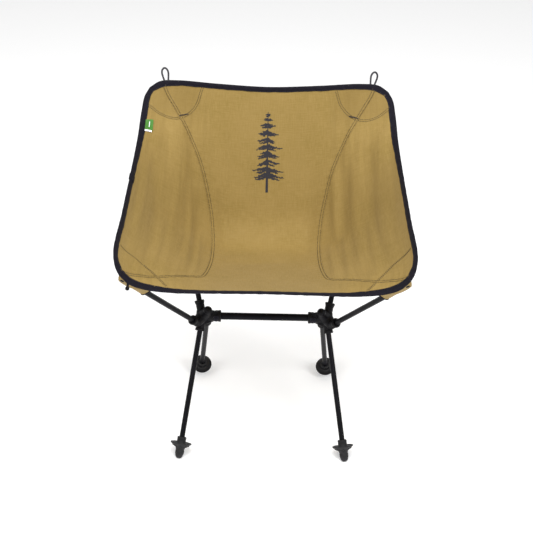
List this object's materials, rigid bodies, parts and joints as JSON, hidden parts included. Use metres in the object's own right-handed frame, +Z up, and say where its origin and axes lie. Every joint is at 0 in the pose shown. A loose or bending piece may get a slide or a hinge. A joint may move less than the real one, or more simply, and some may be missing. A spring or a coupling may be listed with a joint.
{
  "type": "packable camp chair",
  "caption": "Low packable camp chair: shock-corded poles and legs plug into moulded hubs on a crossbar, and a cloth sling seat and back hangs from the pole tips.",
  "frame": {"origin": "centre of the box round the chair, on the ground", "axes": "+X towards the right of a viewer in front, -Y to the front edge of the seat, +Z up"},
  "size_m": [0.5328, 0.412, 0.6846],
  "materials": {
    "moulded_nylon": "black glass-filled nylon, moulded, fine spark texture",
    "frame_tube": "black anodised aluminium tube, satin",
    "foot_rubber": "hard black rubber, matt, moulded",
    "sling_cloth": "tan coated polyester oxford, plain weave, faint sheen",
    "binding_tape": "black woven polyester binding tape, folded over the edge",
    "loop_cord": "black braided cord",
    "elastic_cord": "black braided elastic cord",
    "ferrule_alloy": "bare drawn aluminium",
    "steel": "blackened steel rivet",
    "label_cloth": "green woven label with a white edge, blank"
  },
  "bodies": {
    "seat_frame": {"hub_left": "moulded_nylon", "crossbar_pin_left": "steel", "front_pole_left": "frame_tube", "rear_pole_lower_left": "frame_tube", "rear_pole_upper_left": "frame_tube", "pole_ferrule_left": "ferrule_alloy", "front_pole_cap_left": "moulded_nylon", "front_pole_cord_left": "elastic_cord", "rear_pole_cap_left": "moulded_nylon", "rear_pole_cord_left": "elastic_cord", "wing_left": "sling_cloth", "front_pocket_left": "sling_cloth", "rear_pocket_left": "sling_cloth", "hang_loop_left": "loop_cord", "hub_right": "moulded_nylon", "crossbar_pin_right": "steel", "front_pole_right": "frame_tube", "rear_pole_lower_right": "frame_tube", "rear_pole_upper_right": "frame_tube", "pole_ferrule_right": "ferrule_alloy", "front_pole_cap_right": "moulded_nylon", "front_pole_cord_right": "elastic_cord", "rear_pole_cap_right": "moulded_nylon", "rear_pole_cord_right": "elastic_cord", "wing_right": "sling_cloth", "front_pocket_right": "sling_cloth", "rear_pocket_right": "sling_cloth", "hang_loop_right": "loop_cord", "crossbar": "frame_tube", "seat_panel": "sling_cloth", "edge_binding": "binding_tape", "side_label": "label_cloth"},
    "front_leg_left_body": {"front_leg_left": "frame_tube", "front_leg_foot_left": "foot_rubber", "front_leg_plug_left": "moulded_nylon", "front_leg_cord_left": "elastic_cord"},
    "front_leg_right_body": {"front_leg_right": "frame_tube", "front_leg_foot_right": "foot_rubber", "front_leg_plug_right": "moulded_nylon", "front_leg_cord_right": "elastic_cord"},
    "rear_leg_left_body": {"rear_leg_left": "frame_tube", "rear_leg_foot_left": "foot_rubber", "rear_leg_plug_left": "moulded_nylon", "rear_leg_cord_left": "elastic_cord"},
    "rear_leg_right_body": {"rear_leg_right": "frame_tube", "rear_leg_foot_right": "foot_rubber", "rear_leg_plug_right": "moulded_nylon", "rear_leg_cord_right": "elastic_cord"}
  },
  "joints": [
    {"name": "front_leg_pull_left", "type": "slide", "parent": "seat_frame", "child": "front_leg_left_body", "axis": [-0.1429, -0.5434, -0.8272], "range_m": [0, 0.018], "stiffness_N_per_m": 400, "springref_m": -0.05},
    {"name": "front_leg_pull_right", "type": "slide", "parent": "seat_frame", "child": "front_leg_right_body", "axis": [0.1429, -0.5434, -0.8272], "range_m": [0, 0.018], "stiffness_N_per_m": 400, "springref_m": -0.05},
    {"name": "rear_leg_pull_left", "type": "slide", "parent": "seat_frame", "child": "rear_leg_left_body", "axis": [-0.0859, 0.5265, -0.8458], "range_m": [0, 0.045], "stiffness_N_per_m": 400, "springref_m": -0.05},
    {"name": "rear_leg_pull_right", "type": "slide", "parent": "seat_frame", "child": "rear_leg_right_body", "axis": [0.0859, 0.5265, -0.8458], "range_m": [0, 0.045], "stiffness_N_per_m": 400, "springref_m": -0.05}
  ]
}
